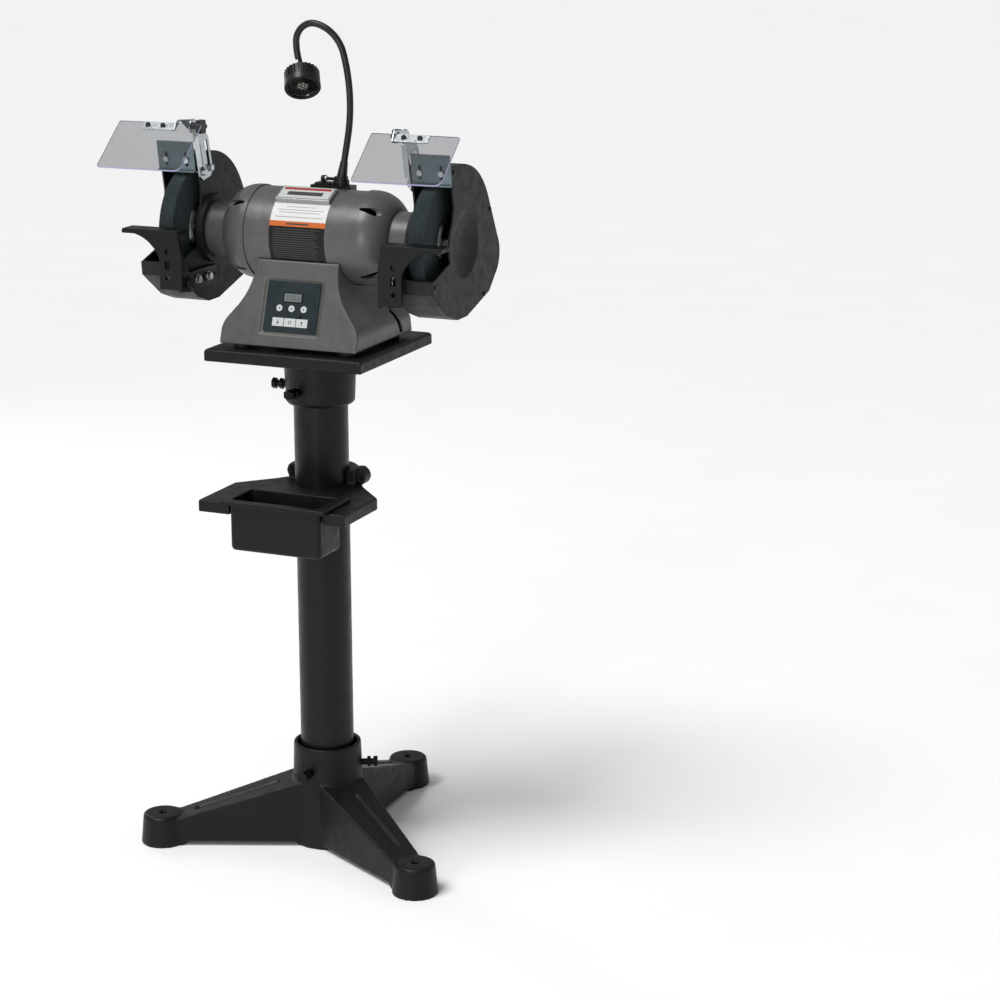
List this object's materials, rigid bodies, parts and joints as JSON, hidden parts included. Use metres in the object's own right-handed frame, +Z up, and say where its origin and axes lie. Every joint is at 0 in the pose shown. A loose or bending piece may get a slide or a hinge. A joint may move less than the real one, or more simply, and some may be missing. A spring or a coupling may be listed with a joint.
{
  "type": "bench grinder",
  "caption": "Bench grinder on a cast pedestal stand, with wheel guards, tool rests, eye shields, a push-button control panel, a gooseneck lamp, and a tool tray with a lift-out water pot.",
  "frame": {"origin": "on the floor, at the centre of the circle of the stand's three floor bolt holes, under the column's axis", "axes": "+Z up along the column, +X to the right along the arbor, -Y towards the operator and the control panel"},
  "size_m": [0.592, 0.5164, 1.3697],
  "materials": {
    "cast_black": "black paint over a sand-cast skin",
    "tube_black": "semi-gloss black paint",
    "grey_paint": "warm grey enamel, satin",
    "guard_paint": "dark charcoal enamel, satin",
    "zinc_plate": "zinc plated",
    "spark_steel": "blue-grey zinc plated",
    "black_steel": "black oxide",
    "bright_steel": "machined",
    "core_steel": "laminated",
    "copper_wire": "varnished winding",
    "fan_metal": "cast",
    "abrasive": "coarse vitrified grit",
    "clear_acrylic": "clear, faintly scuffed",
    "lens_clear": "clear",
    "black_plastic": "moulded, satin",
    "neck_rubber": "black sleeve",
    "foot_rubber": "matt",
    "panel_film": "printed film, satin",
    "key_plastic": "light grey, satin",
    "board_green": "solder mask",
    "badge_metal": "satin with a red band"
  },
  "bodies": {
    "root": {"stand_base": "cast_black", "lock_bolts": "black_steel", "jam_nuts": "black_steel", "column_tube": "tube_black", "top_plate": "cast_black", "mounting_screws": "black_steel", "rubber_feet": "foot_rubber", "base_housing": "grey_paint", "control_panel": "panel_film", "circuit_board": "board_green", "cable_gland": "black_plastic", "motor_shell": "grey_paint", "end_bell_left": "grey_paint", "end_bell_right": "grey_paint", "end_bell_screws": "black_steel", "stator_core": "core_steel", "stator_windings": "copper_wire", "bearing_outer_rings": "bright_steel", "nameplate": "badge_metal", "wheel_guard_left": "guard_paint", "wheel_guard_right": "guard_paint", "guard_cover_left": "guard_paint", "guard_cover_right": "guard_paint", "cover_screws": "black_steel", "guard_bolts": "zinc_plate", "lamp_base": "black_plastic"},
    "rotor": {"arbor_shaft": "bright_steel", "rotor_core": "core_steel", "bearing_inner_races": "bright_steel", "cooling_fan": "fan_metal", "wheel_flanges": "bright_steel", "grinding_wheel_left": "abrasive", "grinding_wheel_right": "abrasive", "arbor_nuts": "bright_steel"},
    "tray": {"tool_tray": "cast_black", "tray_set_bolts": "black_steel"},
    "pot": {"water_pot": "cast_black"},
    "lamp_neck": {"lamp_gooseneck": "neck_rubber"},
    "lamp_head": {"lamp_head": "black_plastic", "lamp_lens": "lens_clear"},
    "preset_button_left": {"preset_button_left": "key_plastic"},
    "preset_button_middle": {"preset_button_middle": "key_plastic"},
    "preset_button_right": {"preset_button_right": "key_plastic"},
    "down_key": {"down_key": "key_plastic"},
    "stop_key": {"stop_key": "key_plastic"},
    "up_key": {"up_key": "key_plastic"},
    "arrestor_right": {"spark_arrestor_right": "spark_steel"},
    "bracket_right": {"rest_bracket_right": "black_steel"},
    "rest_right": {"tool_rest_right": "cast_black"},
    "shield_arm_right": {"shield_arm_right": "zinc_plate"},
    "shield_right": {"shield_hinge_right": "zinc_plate", "eye_shield_right": "clear_acrylic"},
    "knob_right": {"shield_knob_right": "black_plastic"},
    "arrestor_left": {"spark_arrestor_left": "spark_steel"},
    "bracket_left": {"rest_bracket_left": "black_steel"},
    "rest_left": {"tool_rest_left": "cast_black"},
    "shield_arm_left": {"shield_arm_left": "zinc_plate"},
    "shield_left": {"shield_hinge_left": "zinc_plate", "eye_shield_left": "clear_acrylic"},
    "knob_left": {"shield_knob_left": "black_plastic"}
  },
  "joints": [
    {"name": "arbor_spin", "type": "hinge", "parent": "root", "child": "rotor", "pos_m": [0, 0, 1.0335], "axis": [1, 0, 0], "continuous": true},
    {"name": "tray_height", "type": "slide", "parent": "root", "child": "tray", "axis": [0, 0, 1], "range_m": [-0.15, 0.1]},
    {"name": "pot_lift", "type": "slide", "parent": "tray", "child": "pot", "axis": [0, 0, 1], "range_m": [0, 0.1]},
    {"name": "preset_button_left_press", "type": "slide", "parent": "root", "child": "preset_button_left", "axis": [0, 0.9472, -0.3206], "range_m": [0, 0.001], "stiffness_N_per_m": 400},
    {"name": "preset_button_middle_press", "type": "slide", "parent": "root", "child": "preset_button_middle", "axis": [0, 0.9472, -0.3206], "range_m": [0, 0.001], "stiffness_N_per_m": 400},
    {"name": "preset_button_right_press", "type": "slide", "parent": "root", "child": "preset_button_right", "axis": [0, 0.9472, -0.3206], "range_m": [0, 0.001], "stiffness_N_per_m": 400},
    {"name": "down_key_press", "type": "slide", "parent": "root", "child": "down_key", "axis": [0, 0.9472, -0.3206], "range_m": [0, 0.001], "stiffness_N_per_m": 400},
    {"name": "stop_key_press", "type": "slide", "parent": "root", "child": "stop_key", "axis": [0, 0.9472, -0.3206], "range_m": [0, 0.001], "stiffness_N_per_m": 400},
    {"name": "up_key_press", "type": "slide", "parent": "root", "child": "up_key", "axis": [0, 0.9472, -0.3206], "range_m": [0, 0.001], "stiffness_N_per_m": 400},
    {"name": "arrestor_slide_right", "type": "slide", "parent": "root", "child": "arrestor_right", "axis": [0, -0.1392, 0.9903], "range_m": [-0.004, 0.003]},
    {"name": "bracket_slide_right", "type": "slide", "parent": "root", "child": "bracket_right", "axis": [0, 1, 0], "range_m": [-0.02, 0]},
    {"name": "rest_tilt_right", "type": "hinge", "parent": "bracket_right", "child": "rest_right", "pos_m": [0.183, -0.112, 0.9615], "axis": [1, 0, 0], "range_deg": [0, 20]},
    {"name": "shield_height_right", "type": "slide", "parent": "root", "child": "shield_arm_right", "axis": [0, -0.2164, 0.9763], "range_m": [-0.018, 0.002]},
    {"name": "shield_tilt_right", "type": "hinge", "parent": "shield_arm_right", "child": "shield_right", "pos_m": [0.186, -0.062, 1.2045], "axis": [1, 0, 0], "range_deg": [-70, 10]},
    {"name": "knob_turn_right", "type": "hinge", "parent": "shield_arm_right", "child": "knob_right", "pos_m": [0.178, -0.062, 1.2045], "axis": [1, 0, 0], "range_deg": [-180, 180]},
    {"name": "arrestor_slide_left", "type": "slide", "parent": "root", "child": "arrestor_left", "axis": [0, -0.1392, 0.9903], "range_m": [-0.004, 0.003]},
    {"name": "bracket_slide_left", "type": "slide", "parent": "root", "child": "bracket_left", "axis": [0, 1, 0], "range_m": [-0.02, 0]},
    {"name": "rest_tilt_left", "type": "hinge", "parent": "bracket_left", "child": "rest_left", "pos_m": [-0.183, -0.112, 0.9615], "axis": [1, 0, 0], "range_deg": [0, 20]},
    {"name": "shield_height_left", "type": "slide", "parent": "root", "child": "shield_arm_left", "axis": [0, -0.2164, 0.9763], "range_m": [-0.018, 0.002]},
    {"name": "shield_tilt_left", "type": "hinge", "parent": "shield_arm_left", "child": "shield_left", "pos_m": [-0.186, -0.062, 1.2045], "axis": [1, 0, 0], "range_deg": [-70, 10]},
    {"name": "knob_turn_left", "type": "hinge", "parent": "shield_arm_left", "child": "knob_left", "pos_m": [-0.178, -0.062, 1.2045], "axis": [1, 0, 0], "range_deg": [-180, 180]},
    {"name": "lamp_swivel", "type": "hinge", "parent": "root", "child": "lamp_neck", "pos_m": [0.0285, 0.032, 1.118], "axis": [0, 0, 1], "range_deg": [-170, 170]},
    {"name": "lamp_tilt", "type": "hinge", "parent": "lamp_neck", "child": "lamp_head", "pos_m": [-0.03954, 0.032, 1.2931], "axis": [1, 0, 0], "range_deg": [-30, 45]}
  ]
}
